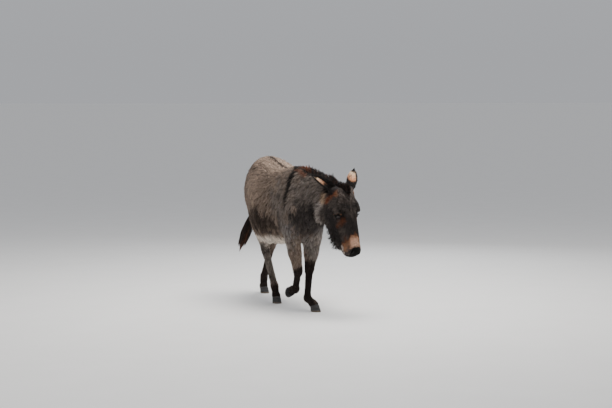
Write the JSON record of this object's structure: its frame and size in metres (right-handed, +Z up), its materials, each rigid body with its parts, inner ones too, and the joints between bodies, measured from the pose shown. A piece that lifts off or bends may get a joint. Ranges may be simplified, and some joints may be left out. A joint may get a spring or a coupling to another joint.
{
  "type": "donkey",
  "caption": "Life-size standing figure of a shaggy grey-brown donkey in winter coat, walking with one forefoot lifted and its head held low.",
  "frame": {"origin": "middle of the bottom of the bounding box, on the floor that the hooves stand on", "axes": "+X the way the trunk points (forward), +Y to the animal's left, +Z up"},
  "size_m": [1.6578, 0.6094, 1.1445],
  "materials": {
    "coat": "matte shaggy hair",
    "leg_coat": "matte short hair",
    "dark_coat": "matte dark hair",
    "ear_coat": "matte short hair",
    "horn": "satin grey horn",
    "eye": "wet gloss"
  },
  "bodies": {
    "root": {"head": "coat", "neck": "coat", "trunk": "coat", "fore_left_upper": "leg_coat", "fore_left_lower": "dark_coat", "fore_left_hoof": "horn", "fore_right_upper": "leg_coat", "fore_right_lower": "dark_coat", "fore_right_hoof": "horn", "hind_left_upper": "leg_coat", "hind_left_lower": "dark_coat", "hind_left_hoof": "horn", "hind_right_upper": "leg_coat", "hind_right_lower": "dark_coat", "hind_right_hoof": "horn", "eye_left": "eye", "eye_right": "eye", "ear_left": "ear_coat", "ear_right": "ear_coat", "mane": "dark_coat", "tail": "coat", "tail_switch": "dark_coat"}
  },
  "joints": []
}
